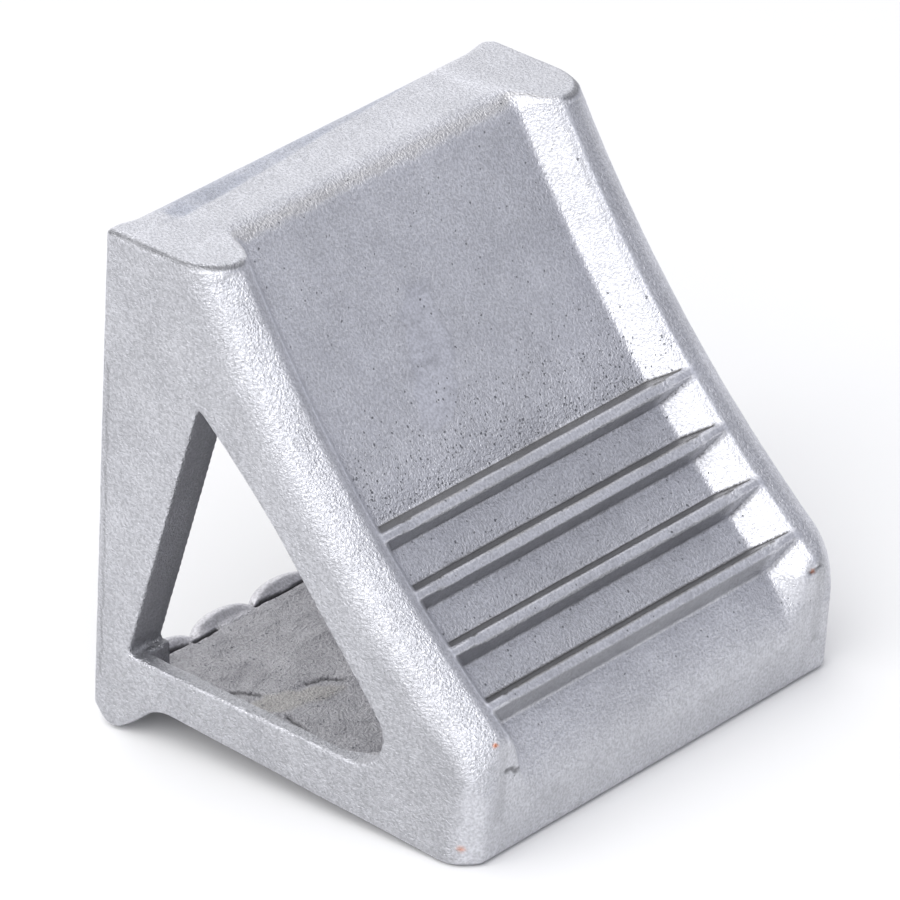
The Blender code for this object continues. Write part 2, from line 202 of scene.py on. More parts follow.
def window_distance(x, z, depth):
    """Side window, negative in the opening."""
    along, above = x - WINDOW_END[0], z - WINDOW_END[1]
    sill = line(x, z, *SILL_LINE)
    run, rise = math.cos(WINDOW_END_TURN), math.sin(WINDOW_END_TURN)
    front = along * run + above * rise - WINDOW_END_RADIUS
    beyond = (along > 0) & (along * rise - above * run > 0)
    nose = np.where(beyond, np.hypot(along, above) - WINDOW_END_RADIUS, np.maximum(sill, front))
    slope = both(WALL_DEPTH - depth, line(x, z, *SLOPE_LINE), 8.0)
    back = line(x, z, *WINDOW_BACK_LINE)
    return both(both(nose, slope, 9.0), back, 2.5)


def hollow_distance(x, y, z, depth):
    """Space under the tread between the legs, open at the back."""
    across = np.abs(y)
    inner = both(across - (HALF - LEG), WALL_DEPTH - depth, 3.0)
    inner = both(inner, x - HOLLOW_FRONT, 9.0)
    inner = both(inner, z - POCKET_TOP, 5.0)
    wall = across - PAN_HALF - PAN_LEAN * (z - floor_top(x)) + PAN_TAPER * fade(x, *PAN_TAPER_RUN)
    pan = both(both(wall * PAN_COSINE, WALL_DEPTH - depth, 3.0), PAN_BACK - x, 1.5)
    pan = both(np.maximum(pan, z - PAN_TOP), x - HOLLOW_FRONT, 9.0)
    ground = floor_top(x) + 2.4 * lobe(y) * (1.0 - fade(x, 10.5, 15.5))
    return both(np.minimum(inner, pan), ground - z, 2.0)


def chock_distance(x, y, z):
    """Signed distance of the whole casting, in millimetres, negative inside."""
    across = np.abs(y)
    arc, depth = polar(x, z)
    middle = 1.0 - fade(across, 70.0, 80.0)
    outside = fade(across, 86.0, 97.0)

    solid = both(across - HALF, -depth, SHOULDER)
    recess = both(depth - TREAD_DEPTH, flank(across, depth), 1.0)
    solid = both(solid, -recess, 3.6)
    for index in range(RIBS):
        solid = either(solid, rib_distance(index, arc, depth, across), 0.8)

    front = line(x, z, *FRONT_LINE)
    corner = 10.0 - 5.0 * fade(z, 14.0, 38.0) * (y < 0.0)
    solid = both(solid, front, 3.0 + 11.0 * middle + corner * outside)
    top = line(x, z, *TOP_LINE)
    solid = both(solid, top, 1.3 + 5.5 * middle)
    back = line(x, z, *BACK_LINE)
    solid = both(solid, back, 2.0 + 3.0 * (1.0 - outside) * fade(z, 165.0, 185.0))
    far_corner = 2.0 + 6.0 * fade(y, 60.0, 80.0) * fade(z, 130.0, 175.0)
    solid = np.maximum(solid, both(across - HALF, back, far_corner))
    facet = 0.10 * (back + 6.5) * (1.0 - fade(z, 130.0, 165.0))
    solid = np.maximum(solid, across - HALF + np.maximum(facet, 0.0))

    base = np.maximum(line(x, z, *BASE_LINE), -z)
    claw = line(x, z, *CLAW_POINTS[:2])
    for start, end, radius in zip(CLAW_POINTS[1:], CLAW_POINTS[2:], CLAW_RADII):
        claw = both(claw, line(x, z, start, end), radius)
    solid = both(solid, either(base, claw, 4.0), 2.5)

    behind = both(across - (HALF - LEG), x - TOOTH_VALLEY + TOOTH_BULGE * lobe(y), 1.5)
    solid = both(solid, -np.maximum(behind, z - BASE_LIMIT), 1.5)
    opening = np.minimum(hollow_distance(x, y, z, depth), window_distance(x, z, depth))
    brink = (1.0 - fade(x, 12.0, 16.0)) * (1.0 - fade(z, 24.0, 32.0)) * (across < HALF - LEG)
    edge = 1.2 + 4.5 * brink
    solid = both(solid, -opening, edge)
    open_share = fade(np.sin(y / 13.0 + 2.0) + 0.7 * np.sin(y / 5.1), -0.7, -0.2)
    crack = np.maximum(np.abs(x - crack_x(y)) - CRACK_HALF * open_share, floor_top(x) - CRACK_DEPTH - z)
    crack = np.maximum(crack, z - POCKET_TOP / 2)
    return np.maximum(solid, -np.maximum(crack, across - HALF + LEG + 2.0))


# ---------------------------------------------------------------- sections

SECTIONS = ["crown", "toe", "tread_plate", "left_slope_rail", "right_slope_rail", "left_rear_leg",
            "right_rear_leg", "base_plate", "left_base_rail", "right_base_rail"]
SECTIONS += [f"tread_rib_{i + 1}" for i in range(RIBS)]
SECTIONS += [f"rear_tooth_{i + 1}" for i in range(TEETH)]
CODE = {name: i + 1 for i, name in enumerate(SECTIONS)}


def section_codes(x, y, z):
    """Number of the section that each point belongs to, were it solid."""
    across = np.abs(y)
    arc, depth = polar(x, z)
    left = y > 0
    rail = np.where(left, CODE["left_slope_rail"], CODE["right_slope_rail"])
    shell = np.where(across > HALF - FLANK_INSET, rail, CODE["tread_plate"])
    for index in range(RIBS):
        foot = RIB_FIRST + index * RIB_PITCH
        inside = (arc > foot - RIB_MARGIN) & (arc < foot + RIB_BASE + RIB_MARGIN)
        inside = inside & (depth < TREAD_DEPTH - 0.6) & (flank(across, depth) < -0.4) & (across < 84.0)
        shell = np.where(inside, CODE[f"tread_rib_{index + 1}"], shell)
    base_rail = np.where(left, CODE["left_base_rail"], CODE["right_base_rail"])
    plate = np.where(across > HALF - BASE_RAIL, base_rail, CODE["base_plate"])
    tooth = np.clip(np.floor(y / TOOTH_PITCH + TEETH / 2), 0, TEETH - 1) + CODE["rear_tooth_1"]
    leg = np.where(left, CODE["left_rear_leg"], CODE["right_rear_leg"])
    back = np.where(across > HALF - LEG, leg, tooth)
    low = np.where(x < RAIL_BACK, back, plate)
    high = np.where(across > HALF - LEG - 3.0, leg, CODE["tread_plate"])
    under = np.where(z < BASE_LIMIT, low, high)
    code = np.where(depth < WALL_DEPTH, shell, under)
    code = np.where(arc > TOE_ARC, CODE["toe"], code)
    return np.where(z > CROWN_LOW, CODE["crown"], code).astype(np.int8)


# ---------------------------------------------------------------- surface nets

GRID_ROOM = (4.0, 3.5, 3.5)             # room around the solid on each axis
GRID_SHIFT = 0.137                      # keeps the samples off the solid's flat faces


def sample_axes():
    """Stations, widths and heights of the grid's samples, past the solid on every side."""
    spans = zip((0.0, -HALF, 0.0), (LENGTH, HALF, HEIGHT), GRID_ROOM)
    return [np.arange(low - room + GRID_SHIFT, high + room, CELL) for low, high, room in spans]


def sample_solid(axes):
    """Distance and section number at every sample, worked out a slab of stations at a time."""
    x, y, z = axes
    field = np.empty((len(x), len(y), len(z)), np.float32)
    code = np.zeros(field.shape, np.int8)
    for low in range(0, len(x), SLAB):
        part = slice(low, low + SLAB)
        place = (x[part, None, None], y[None, :, None], z[None, None, :])
        field[part] = chock_distance(*place)
        code[part] = np.where(field[part] < 0, section_codes(*place), 0)
    return field, code


def shifted(array, axis, offset):
    """The array without its last layer along the axis, or without its first where offset is 1."""
    part = [slice(None)] * 3
    part[axis] = slice(1, None) if offset else slice(0, -1)
    return array[tuple(part)]


def cell_means(cells, places, size):
    """Mean of the places that fall in each cell, and how many there are."""
    count = np.bincount(cells, minlength=size)
    sums = [np.bincount(cells, places[:, k], size) for k in range(3)]
    return np.stack(sums, 1) / np.maximum(count, 1)[:, None], count


def build_skin():
    """Vertices of the net in millimetres, and quads with the section on each side of them."""
    axes = sample_axes()
    field, code = sample_solid(axes)
    cells = tuple(n - 1 for n in field.shape)
    quads, fronts, backs, places = [], [], [], []
    for axis in range(3):
        found = np.argwhere(shifted(code, axis, 0) != shifted(code, axis, 1)).astype(np.int32)
        beyond = found + np.eye(3, dtype=np.int32)[axis]
        near, far = code[tuple(found.T)], code[tuple(beyond.T)]
        near_value, far_value = field[tuple(found.T)], field[tuple(beyond.T)]
        skin = (near == 0) | (far == 0)
        share = np.where(skin, near_value / np.where(skin, near_value - far_value, 1.0), 0.5)
        place = found.astype(np.float32)
        place[:, axis] += share
        first, second = [i for i in range(3) if i != axis]
        corners = []
        for a, b in ((0, 0), (-1, 0), (-1, -1), (0, -1)):
            cell = found.copy()
            cell[:, first] += a
            cell[:, second] += b
            corners.append(np.ravel_multi_index(tuple(cell.T), cells))
        quad = np.stack(corners, 1)
        quads.append(quad if axis == 1 else quad[:, ::-1])
        fronts.append(far)
        backs.append(near)
        places.append(place)
    del field, code
    quads, fronts, backs = np.concatenate(quads), np.concatenate(fronts), np.concatenate(backs)
    places = np.concatenate(places)
    used, local = np.unique(quads, return_inverse=True)
    quads = local.reshape(quads.shape)
    skin = (fronts == 0) | (backs == 0)
    outer, outer_count = cell_means(quads[skin].ravel(), np.repeat(places[skin], 4, axis=0), len(used))
    inner, _ = cell_means(quads[~skin].ravel(), np.repeat(places[~skin], 4, axis=0), len(used))
    on_skin = outer_count > 0
    vertices = np.where(on_skin[:, None], outer, inner) * CELL + np.array([axis[0] for axis in axes])
    return vertices, quads, fronts, backs, on_skin


def gradient(points):
    """Unit outward direction of the distance at the points."""
    reach = 0.25
    slopes = []
    for axis in range(3):
        step = np.zeros(3)
        step[axis] = reach
        ahead = chock_distance(*(points + step).T)
        behind = chock_distance(*(points - step).T)
        slopes.append(ahead - behind)
    slopes = np.stack(slopes, 1)
    return slopes / np.maximum(np.linalg.norm(slopes, axis=1, keepdims=True), 1e-9)


def settle(points):
    """Move net vertices onto the exact surface."""
    for _ in range(2):
        offset = np.clip(chock_distance(*points.T), -0.7 * CELL, 0.7 * CELL)
        points = points - gradient(points) * offset[:, None] * 0.8
    return points


# ---------------------------------------------------------------- cast texture in the geometry, and the colours with painted shade and highlights

LATTICE = 64
RANDOM = np.random.RandomState(7)
LATTICES = [RANDOM.uniform(-1.0, 1.0, (LATTICE,) * 3) for _ in range(3)]


def grain(points, size, kind=0):
    """Smooth random values from -1 to 1 that change over the given size."""
    scaled = points / size + 17.3 * (kind + 1)
    base = np.floor(scaled).astype(int)
    share = scaled - base
    share = share * share * (3 - 2 * share)
    value = np.zeros(len(points))
    for corner in range(8):
        bits = np.array([corner & 1, (corner >> 1) & 1, (corner >> 2) & 1])
        weight = np.prod(np.where(bits, share, 1 - share), axis=1)
        i, j, k = ((base + bits) % LATTICE).T
        value += weight * LATTICES[kind][i, j, k]
    return value


# Small rust spots near the toe: station, width and height, then the radius.
RUST_SPOTS = [((171.5, -89.5, 45.8), 1.0), ((167.0, -HALF, 7.0), 2.3), ((172.5, -96.5, 4.5), 2.1),
              ((174.0, 82.0, 43.5), 1.3)]
# Casting flaws, each a short path of stations, widths and heights: the crack at the far toe
# corner, the fold where the near crest runs out over the toe, and splits in the base plate.
FLAWS = [((174.5, 76.0, 43.5), (174.5, 81.0, 43.5), (173.0, 86.0, 44.5)),
         ((173.0, -84.5, 33.8), (173.0, -80.8, 33.4), (173.0, -79.1, 31.4), (173.0, -75.1, 32.7),
          (173.0, -74.6, 35.2)),
         ((45.0, -84.0, 18.0), (48.0, -79.0, 17.5), (54.0, -75.0, 17.0)),
         ((60.0, -57.0, 16.0), (62.0, -50.0, 16.0), (67.0, -45.0, 15.5)),
         ((70.0, -78.0, 15.5), (80.0, -80.0, 14.5), (88.0, -84.0, 14.0))]


def region_masks(points, normals):
    """Named shares, from 0 to 1, of the casting's differently finished areas, and of the places where shade
    or highlights are painted into the colour.
    """
    x, y, z = points.T
    across = np.abs(y)
    arc, depth = polar(x, z)
    wander = grain(points, 14.0, 1)
    jagged = grain(points, 3.5, 2)
    facing = normals[:, 0] * 0.77 + normals[:, 2] * 0.64
    masks = {}
    rolled = fade(facing, 0.25, 0.75) * (arc > 4.0) * (arc < 205.0)
    masks["shoulder"] = rolled * fade(across, 84.0, 92.0) * (depth < 16.0)
    masks["bead"] = np.exp(-((across - 83.4) / 0.9) ** 2) * rolled * (depth < 3.5)
    masks["crest"] = fade(across, 83.0, 84.5) * (1.0 - fade(across, 87.0, 91.0)) * rolled
    masks["crown"] = fade(normals[:, 2], 0.80, 0.97) * (z > 186.0)
    masks["tread"] = fade(facing, 0.5, 0.9) * (across < 84.0) * (z < 190.0)
    masks["tread"] *= (depth > 1.5) * (depth < 16.0)
    back = line(x, z, *BACK_LINE)
    inside = (across < HALF - 0.3) & (depth > WALL_DEPTH - 3.0) & (x < HOLLOW_FRONT + 1.0) & (back < -2.5)
    masks["floor"] = fade(normals[:, 2], 0.4, 0.9) * inside * (z < 34.0) * fade(x, 15.0, 17.0)
    masks["floor"] *= across < HALF - BASE_RAIL - 1.0
    masks["tooth"] = inside * (x < crack_x(y)) * (z < 34.0) * (across < HALF - LEG)
    rim = (across > HALF - BASE_RAIL - 1.0) | ((across > HALF - LEG - 1.0) & (x < 22.0))
    masks["inner"] = inside * ((z > 34.0) | rim) * (z < POCKET_TOP + 3.0)
    masks["inner"] *= z > underside(x) + 3.0
    masks["side"] = fade(np.abs(normals[:, 1]), 0.75, 0.95) * (across > HALF - 5.0)
    masks["nose"] = fade(normals[:, 0], 0.80, 0.97) * (x > 150.0)
    masks["flank"] = rolled * fade(across, 70.0, 74.0) * (1.0 - fade(across, 83.0, 87.0)) * (depth < 13.0)
    masks["brow"] = fade(normals[:, 2] + 0.05 * jagged, 0.68, 0.80) * (1.0 - fade(normals[:, 2], 0.84, 0.96))
    masks["brow"] *= (z > 180.0) * (across < 84.0) * (x > 20.0)

    # Concave places, which tint_of darkens as painted shade.
    hollow = 2.0 - chock_distance(*(points + normals * 2.0).T)
    masks["recess"] = fade(hollow + 0.15 * jagged, 0.35, 1.1)
    ridge = 2.0 + chock_distance(*(points - normals * 2.0).T)
    masks["edge"] = fade(ridge + 0.2 * jagged, 0.5, 1.3)

    in_ribs = (arc > RIB_FIRST - 3.0) & (arc < RIB_FIRST + RIB_PITCH * (RIBS - 1) + RIB_BASE + 3.0)
    along = -normals[:, 0] * 0.64 + normals[:, 2] * 0.77
    rib_side = in_ribs * (depth > 2.0) * (depth < 14.0) * (across < 82.0)
    # Uphill sides of the bars: painted shade with a brownish cast, applied in tint_of.
    masks["rib_up_shade"] = rib_side * fade(along + 0.15 * wander, 0.35, 0.7)
    # Downhill sides of the bars: painted shade for their dark reflection, left off near the rails.
    masks["rib_down"] = rib_side * fade(-along, 0.45, 0.8) * (1.0 - fade(y, 66.0, 72.0))
    masks["rib_top"] = rib_side * (depth < 4.5) * fade(facing, 0.85, 0.95)
    masks["pits"] = masks["tread"] * fade(arc + 6.0 * wander, 62.0, 92.0) * (arc < RIB_FIRST)
    down = np.abs(arc - 60.0 + 0.35 * (y + 14.0)) / 23.0
    across_it = np.abs(y + 14.0 + 0.22 * (arc - 60.0)) / 13.0
    scrape = (down ** 3 + across_it ** 3) ** (1 / 3)
    masks["scrape"] = masks["tread"] * (1.0 - fade(scrape + 0.25 * wander + 0.15 * jagged, 0.82, 0.95))

    strip_front = 17.5 - 0.07 * y + 0.8 * wander
    strip = (1.0 - fade(x, strip_front - 0.6, strip_front + 0.9)) * fade(x, 9.5, 13.0)
    strip *= np.clip(0.9 + 0.3 * grain(points, 7.0, 0) + 0.2 * jagged, 0.2, 1.2)
    strip *= fade(y + 4.0 * jagged, -82.0, -74.0) * (1.0 - fade(y, 40.0, 62.0))
    masks["strip"] = fade(normals[:, 2], 0.55, 0.85) * (z > 186.0) * strip
    crease = np.exp(-((y - 69.0 - 0.10 * (x - 30.0) - 1.5 * wander) / 4.0) ** 2)
    masks["crease"] = masks["crown"] * crease
    masks["far_end"] = masks["crown"] * fade(y, 72.0, 76.0)
    top = line(x, z, *TOP_LINE)
    side = both(across - HALF, -depth, SHOULDER)
    lip = (1.0 - fade(np.abs(top + 0.5), 0.3, 1.2)) * (1.0 - fade(np.abs(side + 0.3), 0.5, 1.6))
    masks["lip"] = lip * fade(across, 82.0, 85.0) * fade(x, 4.0, 8.0)

    beige = np.hypot((x - 64.0 - 0.3 * (y + 66.0)) / 7.0, (y + 66.0) / 19.0)
    masks["beige"] = masks["floor"] * (1.0 - fade(beige + 0.25 * wander + 0.2 * jagged, 0.7, 0.95))
    masks["rust"] = np.zeros(len(points))
    for centre, radius in RUST_SPOTS:
        spot = np.linalg.norm(points - settle(np.array([centre])), axis=1) / radius
        masks["rust"] += 1.0 - fade(spot + 0.5 * jagged, 0.5, 1.1)
    masks["flaw"] = np.zeros(len(points))
    for path in FLAWS:
        stations = settle(np.array(path))
        for start, end in zip(stations[:-1], stations[1:]):
            run = end - start
            share = np.clip((points - start) @ run / np.dot(run, run), 0.0, 1.0)
            away = np.linalg.norm(points - start - share[:, None] * run, axis=1)
            masks["flaw"] = np.maximum(masks["flaw"], 1.0 - fade(away + 0.3 * jagged, 0.5, 1.2))
    return masks


def cast_offset(points, masks):
    """Height of the cast texture along the surface normal, in millimetres."""
    pebbles = grain(points, 2.2, 0) * 0.5 + grain(points, 1.6, 1) * 0.5
    waves = grain(points, 9.0, 1) * 0.5 + grain(points, 26.0, 2)
    smooth = 1.0 - 0.9 * masks["scrape"] - 0.5 * masks["rib_top"]
    height = 0.03 * pebbles * smooth + 0.12 * waves
    height += 0.03 * masks["shoulder"] * pebbles + 0.03 * masks["crown"] * pebbles
    height += 0.25 * masks["crease"] - 0.30 * masks["strip"]
    scabs = fade(grain(points, 9.0, 2) + 0.6 * grain(points, 3.4, 0), 0.20, 0.32)
    flakes = fade(grain(points * np.array([1.0, 0.45, 1.0]), 4.0, 1), 0.35, 0.5)
    rough_floor = 0.14 * pebbles + 0.32 * scabs + 0.30 * flakes - 0.2
    height += masks["floor"] * (1.0 - masks["beige"]) * rough_floor + 0.15 * masks["beige"]
    height -= 0.45 * masks["lip"] + 0.45 * masks["flaw"]
    height += 0.15 * masks["bead"] - 0.12 * masks["scrape"]
    return height


# Colours that multiply the metal's own in these areas; the brownish one on the bars' uphill sides goes with
# their painted shade.
TINTS = {"beige": (1.06, 1.04, 0.97), "rib_up_shade": (1.05, 1.02, 0.95), "brow": (1.0, 0.985, 0.95),
         "strip": (0.96, 0.99, 1.06), "rust": (1.05, 0.42, 0.22)}


def tint_of(masks, points):
    """Vertex colour that multiplies the metal, with painted shade and highlights alongside the stains, rust
    and wear; strength of its fine relief, and share of pits.
    """
    tone = np.ones(len(points))
    # Painted shade: hollows and inner corners darkened by half.
    tone *= 1.0 - 0.50 * masks["recess"]
    # Painted shade on the bars' uphill sides.
    tone *= 1.0 - 0.72 * masks["rib_up_shade"]
    # Painted shade on the bars' downhill sides, standing in for a dark reflection.
    tone *= 1.0 - 0.38 * masks["rib_down"]
    # Painted shade in the thin groove along the edge between the top and the rails.
    tone *= 1.0 - 0.55 * masks["lip"]
    tone *= 1.0 - 0.24 * masks["strip"]
    # Painted shade on the side faces and, slightly, on the faces turned to the front.
    tone *= (1.0 - 0.18 * masks["side"]) * (1.0 - 0.06 * masks["nose"]) * (1.0 - 0.05 * masks["brow"])
    streaks = grain(points * np.array([1.0, 0.25, 1.0]), 1.6, 2)
    tone *= 1.0 + masks["scrape"] * (0.08 + 0.14 * streaks)
    tone *= 1.0 - 0.2 * masks["scrape"] * (1.0 - masks["scrape"])
    # Painted highlight on the bead along the crest, and painted shade on the crest band.
    tone *= (1.0 - 0.60 * masks["flaw"]) * (1.0 + 0.28 * masks["bead"]) * (1.0 - 0.14 * masks["crest"])
    # Painted highlight on the rounded shoulders.
    tone *= 1.0 + 0.10 * masks["crease"] - 0.04 * masks["far_end"] + 0.10 * masks["shoulder"]
    tone *= 1.0 + 0.06 * masks["edge"] + 0.05 * grain(points, 18.0, 0) + 0.04 * grain(points, 6.0, 1)
    # Painted shade on the floor and inner walls of the hollow under the tread.
    tone *= 1.0 - 0.24 * masks["floor"] + 0.10 * masks["tooth"]
    tone *= 1.0 - 0.24 * masks["inner"]
    # Painted shade on the near side towards the toe, standing in for a darker reflection.
    tone *= 1.0 - 0.08 * fade(points[:, 0], 110.0, 165.0) * (points[:, 1] < 0.5 - HALF)
    colour = np.stack([tone, tone, tone], 1)
    for mask, tint in TINTS.items():
        share = np.clip(masks[mask], 0.0, 1.0)[:, None]
        colour *= 1.0 - share + share * np.array(tint)
    relief = 0.6 + 0.35 * masks["side"] + 0.35 * masks["inner"] + 0.9 * masks["shoulder"]
    relief += 0.5 * masks["crown"] + 0.1 * masks["tread"]
    relief += 0.2 * masks["pits"] + 0.5 * masks["floor"] - 0.25 * masks["tooth"] - 0.2 * masks["rib_top"]
    relief -= 0.5 * masks["crest"] * masks["shoulder"]
    relief *= (1.0 - 0.85 * masks["scrape"]) * (1.0 - 0.5 * masks["flank"])
    relief += 0.35 * masks["brow"]
    pits = 0.75 * masks["pits"] + 0.08 * masks["tread"] + 0.25 * masks["floor"]
    return np.clip(colour, 0.0, 1.5), np.clip(relief, 0.05, 1.6), np.clip(pits, 0.0, 1.0)


# ---------------------------------------------------------------- materials

class Tree:
    """Short calls for building one material's nodes."""

    def __init__(self, name):
        self.surface = bpy.data.materials.new(name)
        self.surface.use_nodes = True
        self.nodes = self.surface.node_tree.nodes
        self.links = self.surface.node_tree.links
        self.shader = self.nodes["Principled BSDF"]
        self.place = self.nodes.new("ShaderNodeTexCoord").outputs["Object"]

    def noise(self, size, detail=2.0, roughness=0.55):
        """Noise whose features are about this size, in metres."""
        node = self.nodes.new("ShaderNodeTexNoise")
        node.inputs["Scale"].default_value = 1.0 / size
        node.inputs["Detail"].default_value = detail
        node.inputs["Roughness"].default_value = roughness
        self.links.new(self.place, node.inputs["Vector"])
        return node.outputs["Fac"]

    def pits(self, size, share):
        """Scattered round pits, one in each of this share of cells of this size."""
        wobble = self.nodes.new("ShaderNodeVectorMath")
        wobble.operation = "MULTIPLY_ADD"
        wobble.inputs[1].default_value = (0.0012, 0.0012, 0.0012)
        source = self.nodes.new("ShaderNodeTexNoise")
        source.inputs["Scale"].default_value = 1.2 / size
        self.links.new(self.place, source.inputs["Vector"])
        self.links.new(source.outputs["Color"], wobble.inputs[0])
        self.links.new(self.place, wobble.inputs[2])
        cells = self.nodes.new("ShaderNodeTexVoronoi")
        cells.inputs["Scale"].default_value = 1.0 / size
        self.links.new(wobble.outputs["Vector"], cells.inputs["Vector"])
        chance = self.nodes.new("ShaderNodeSeparateColor")
        self.links.new(cells.outputs["Color"], chance.inputs["Color"])
        present = self.math("LESS_THAN", chance.outputs["Red"], share)
        width = self.math("MULTIPLY_ADD", chance.outputs["Green"], 0.18, 0.16)
        inside = self.math("SUBTRACT", width, cells.outputs["Distance"])
        return self.math("MULTIPLY", self.spread(inside, 0.0, 0.07, 0.0, 1.0), present)

    def attribute(self, name, output="Fac"):
        node = self.nodes.new("ShaderNodeAttribute")
        node.attribute_name = name
        return node.outputs[output]

    def math(self, operation, *values):
        node = self.nodes.new("ShaderNodeMath")
        node.operation = operation
        for socket, value in zip(node.inputs, values):
            if isinstance(value, (int, float)):
                socket.default_value = value
            else:
                self.links.new(value, socket)
        return node.outputs["Value"]

    def spread(self, value, low, high, new_low, new_high):
        node = self.nodes.new("ShaderNodeMapRange")
        for key, number in (("From Min", low), ("From Max", high), ("To Min", new_low), ("To Max", new_high)):
            node.inputs[key].default_value = number
        self.links.new(value, node.inputs["Value"])
        return node.outputs["Result"]

    def blend(self, first, second, share, mode="MIX"):
        node = self.nodes.new("ShaderNodeMix")
        node.data_type = "RGBA"
        node.blend_type = mode
        for key, value in (("Factor", share), ("A", first), ("B", second)):
            kind = "VALUE" if key == "Factor" else "RGBA"
            socket = next(s for s in node.inputs if s.name == key and s.type == kind)
            if isinstance(value, (int, float, tuple)):
                socket.default_value = value
            else:
                self.links.new(value, socket)
        return next(s for s in node.outputs if s.type == "RGBA")


PIT_COLOUR = (0.14, 0.145, 0.16, 1)
RELIEF_HEIGHT = 0.0007                  # of the fine grain, in metres


def cast_zinc(name, light, dark, roughness):
    """Galvanised sand casting: zinc tones over a pebbly skin, with pits and worn edges."""
    tree = Tree(name)
    tree.shader.inputs["Metallic"].default_value = 0.90
    tones = tree.spread(tree.noise(0.016, 4.0, 0.6), 0.32, 0.68, 0.0, 1.0)
    base = tree.blend(dark, light, tones)
    spangle = tree.spread(tree.noise(0.0010, 2.0), 0.35, 0.65, 0.84, 1.14)
    base = tree.blend(base, spangle, 1.0, "MULTIPLY")
    base = tree.blend(base, tree.attribute("tint", "Color"), 1.0, "MULTIPLY")
    pit = tree.pits(0.0016, tree.attribute("pits"))
    base = tree.blend(base, PIT_COLOUR, tree.math("MULTIPLY", pit, 0.85))
    tree.links.new(base, tree.shader.inputs["Base Color"])
    gloss = tree.spread(tree.noise(0.012, 3.0), 0.3, 0.7, roughness - 0.05, roughness + 0.06)
    worn = tree.math("MULTIPLY_ADD", tree.attribute("worn"), -0.08, gloss)
    tree.links.new(worn, tree.shader.inputs["Roughness"])
    coarse = tree.noise(0.0010, 2.0, 0.6)
    fine = tree.math("MULTIPLY", tree.noise(0.0006, 1.0), 0.4)
    height = tree.math("MULTIPLY", tree.math("ADD", coarse, fine), tree.attribute("relief"))
    height = tree.math("MULTIPLY_ADD", pit, -0.25, height)
    bump = tree.nodes.new("ShaderNodeBump")
    bump.inputs["Strength"].default_value = 1.0
    bump.inputs["Distance"].default_value = RELIEF_HEIGHT
    tree.links.new(height, bump.inputs["Height"])
    tree.links.new(bump.outputs["Normal"], tree.shader.inputs["Normal"])
    return tree.surface


# ---------------------------------------------------------------- pieces

def vertex_normals(vertices, faces):
    """Area-weighted normals of the quads' outer skin."""
    a, b, c, d = (vertices[faces[:, k]] for k in range(4))
    face = np.cross(c - a, d - b)
    normals = np.zeros_like(vertices)
    for k in range(4):
        for axis in range(3):
            normals[:, axis] += np.bincount(faces[:, k], face[:, axis], len(vertices))
    return normals / np.maximum(np.linalg.norm(normals, axis=1, keepdims=True), 1e-12)


def add_attribute(mesh, name, values):
    kind = "FLOAT_COLOR" if values.ndim == 2 else "FLOAT"
    attribute = mesh.attributes.new(name, kind, "POINT")
    if values.ndim == 2:
        values = np.concatenate([values, np.ones((len(values), 1))], 1)
    field = "color" if kind == "FLOAT_COLOR" else "value"
    attribute.data.foreach_set(field, values.astype(np.float32).ravel())


def section_mesh(name, vertices, normals, faces, is_skin, finish):
    """Closed mesh of one section: smooth skin with the casting's own normals, flat hidden joints."""
    used, local = np.unique(faces, return_inverse=True)
    local = local.reshape(faces.shape)
    mesh = bpy.data.meshes.new(name)
    mesh.vertices.add(len(used))
    mesh.vertices.foreach_set("co", (vertices[used] * MM).astype(np.float32).ravel())
    mesh.loops.add(local.size)
    mesh.loops.foreach_set("vertex_index", local.astype(np.int32).ravel())
    mesh.polygons.add(len(local))
    mesh.polygons.foreach_set("loop_start", np.arange(0, local.size, 4, dtype=np.int32))
    mesh.update(calc_edges=True)
    mesh.validate()
    mesh.polygons.foreach_set("use_smooth", np.ones(len(local), bool))
    a, b, c, d = (vertices[faces[:, k]] for k in range(4))
    flat = np.cross(c - a, d - b)
    flat /= np.maximum(np.linalg.norm(flat, axis=1, keepdims=True), 1e-12)
    loops = np.where(is_skin[:, None, None], normals[faces], flat[:, None, :])
    mesh.normals_split_custom_set(loops.reshape(-1, 3).astype(np.float32))
    for key, values in finish.items():
        add_attribute(mesh, key, values[used])
    return mesh


def build_pieces():
    """One skin object for each section, all from the same net."""
    vertices, quads, fronts, backs, on_skin = build_skin()
    vertices[on_skin] = settle(vertices[on_skin])
    smooth = gradient(vertices)
    masks = region_masks(vertices, smooth)
    offset = cast_offset(vertices, masks) * on_skin
    tint, relief, pits = tint_of(masks, vertices)
    finish = {"tint": tint, "relief": relief, "pits": pits, "worn": masks["edge"]}
    vertices = vertices + smooth * offset[:, None]
    outward = np.where((fronts == 0)[:, None], quads, quads[:, ::-1])
    skin_faces = (fronts == 0) | (backs == 0)
    normals = vertex_normals(vertices, outward[skin_faces])
    vertices[:, 0] -= LENGTH / 2
    zinc = cast_zinc("galvanised_casting", light=(0.62, 0.625, 0.66, 1), dark=(0.57, 0.575, 0.61, 1),
                     roughness=0.36)
    rough_zinc = cast_zinc("rough_casting", light=(0.58, 0.575, 0.60, 1), dark=(0.46, 0.455, 0.48, 1),
                           roughness=0.46)
    rough_names = {"base_plate"} | {f"rear_tooth_{i + 1}" for i in range(TEETH)}
    for name in SECTIONS:
        code = CODE[name]
        ahead, behind = fronts == code, backs == code
        faces = np.concatenate([quads[behind], quads[ahead][:, ::-1]])
        is_skin = np.concatenate([skin_faces[behind], skin_faces[ahead]])
        mesh = section_mesh(name, vertices, normals, faces, is_skin, finish)
        mesh.materials.append(rough_zinc if name in rough_names else zinc)
        piece = bpy.data.objects.new(name + "_skin", mesh)
        bpy.context.scene.collection.objects.link(piece)
        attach(piece, "root")
        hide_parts(name)


# ---------------------------------------------------------------- stage, light and camera

